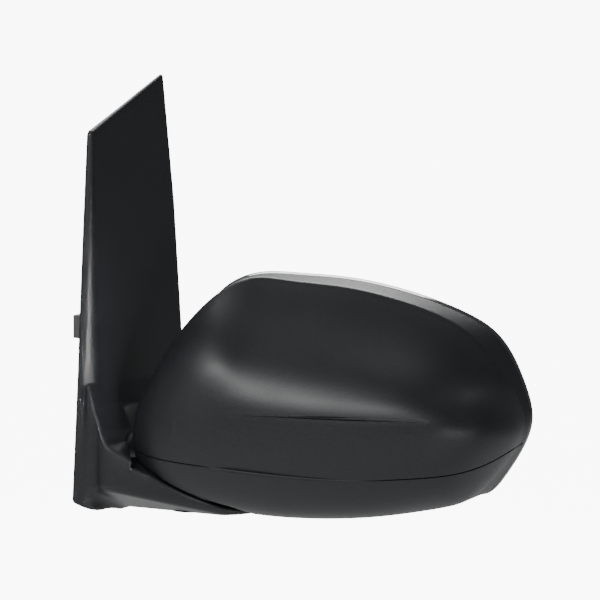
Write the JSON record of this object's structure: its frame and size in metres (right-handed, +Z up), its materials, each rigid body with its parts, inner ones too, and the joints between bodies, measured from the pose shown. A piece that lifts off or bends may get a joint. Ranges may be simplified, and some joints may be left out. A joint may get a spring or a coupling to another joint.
{
  "type": "car side mirror",
  "caption": "Left-hand door mirror with a tall sail cover and arm, a folding head on a leaning pivot and a power-adjusted, heated convex glass.",
  "frame": {"origin": "on the door face, at the mouth of the lower threaded fixing", "axes": "+X outboard from the door, +Y towards the rear of the vehicle, +Z up"},
  "size_m": [0.2586, 0.1399, 0.2571],
  "materials": {
    "textured_black": "fine grained, satin",
    "gloss_black": "smooth, glossy",
    "inner_black": "glass-filled moulding",
    "white_plastic": "acetal",
    "die_cast": "as cast",
    "steel": "zinc plated",
    "spring_steel": "oiled",
    "brass": "plain",
    "rubber": "foam and rubber",
    "mirror": "first-surface chrome on glass",
    "heater": "printed film"
  },
  "bodies": {
    "base": {"sail_cover": "textured_black", "base_bracket": "die_cast", "threaded_inserts": "steel", "locating_pin": "steel", "cover_screws": "steel", "door_gasket": "rubber", "connector_socket": "inner_black", "connector_terminals": "brass", "arm_plug": "textured_black", "pivot_post": "steel", "detent_ring_lower": "steel", "spring_seat": "steel", "spring_washer": "steel", "fold_spring": "spring_steel", "retaining_ring": "spring_steel", "cable_grommet": "rubber"},
    "head": {"head_frame": "inner_black", "pivot_bush_lower": "white_plastic", "pivot_bush_upper": "white_plastic", "detent_ring_upper": "steel", "upper_cap": "textured_black", "lower_cover": "textured_black", "cap_seal": "rubber", "glass_bezel": "gloss_black", "bezel_screws": "steel", "actuator_housing": "inner_black", "actuator_cover": "inner_black", "actuator_screws": "steel", "actuator_socket": "white_plastic", "tilt_motor": "steel", "pan_motor": "steel"},
    "gimbal": {"gimbal_ring": "white_plastic", "gimbal_pins": "steel"},
    "glass": {"glass_holder": "inner_black", "heater_pad": "heater", "mirror_glass": "mirror", "heater_terminals": "brass"},
    "tilt_jack": {"tilt_jack": "white_plastic"},
    "pan_jack": {"pan_jack": "white_plastic"},
    "tilt_gear": {"tilt_gear": "white_plastic"},
    "pan_gear": {"pan_gear": "white_plastic"},
    "tilt_worm": {"tilt_worm": "white_plastic"},
    "pan_worm": {"pan_worm": "white_plastic"}
  },
  "joints": [
    {"name": "head_fold", "type": "hinge", "parent": "base", "child": "head", "pos_m": [0.062, -0.0068, -0.0248], "axis": [0.3462, 0.0928, 0.9336], "range_deg": [-60, 70]},
    {"name": "glass_tilt", "type": "hinge", "parent": "head", "child": "gimbal", "pos_m": [0.13846, 0.04785, 0.0352], "axis": [0.9659, 0.2588, 0], "range_deg": [-8, 8]},
    {"name": "glass_pan", "type": "hinge", "parent": "gimbal", "child": "glass", "pos_m": [0.13846, 0.04785, 0.0352], "axis": [0, 0, 1], "range_deg": [-7, 7]},
    {"name": "tilt_jack_slide", "type": "slide", "parent": "head", "child": "tilt_jack", "axis": [-0.2588, 0.9659, 0], "range_m": [-0.0039, 0.0039]},
    {"name": "pan_jack_slide", "type": "slide", "parent": "head", "child": "pan_jack", "axis": [-0.2588, 0.9659, 0], "range_m": [-0.0034, 0.0034]},
    {"name": "tilt_gear_spin", "type": "hinge", "parent": "head", "child": "tilt_gear", "pos_m": [0.14234, 0.03336, 0.0082], "axis": [-0.2588, 0.9659, 0], "range_deg": [-345, 345]},
    {"name": "pan_gear_spin", "type": "hinge", "parent": "head", "child": "pan_gear", "pos_m": [0.16842, 0.04035, 0.0352], "axis": [-0.2588, 0.9659, 0], "range_deg": [-300, 300]},
    {"name": "tilt_worm_spin", "type": "hinge", "parent": "head", "child": "tilt_worm", "pos_m": [0.14234, 0.03336, 0.01915], "axis": [0.9659, 0.2588, 0], "range_deg": [-8200, 8200]},
    {"name": "pan_worm_spin", "type": "hinge", "parent": "head", "child": "pan_worm", "pos_m": [0.15785, 0.03752, 0.0352], "axis": [0, 0, 1], "range_deg": [-7200, 7200]}
  ],
  "couplings": [
    {"joint": "tilt_jack_slide", "follows": "glass_tilt", "m_per_rad": 0.027},
    {"joint": "pan_jack_slide", "follows": "glass_pan", "m_per_rad": 0.027},
    {"joint": "tilt_gear_spin", "follows": "glass_tilt", "ratio": 42.411},
    {"joint": "pan_gear_spin", "follows": "glass_pan", "ratio": 42.411},
    {"joint": "tilt_worm_spin", "follows": "glass_tilt", "ratio": 1017.9},
    {"joint": "pan_worm_spin", "follows": "glass_pan", "ratio": 1017.9}
  ]
}
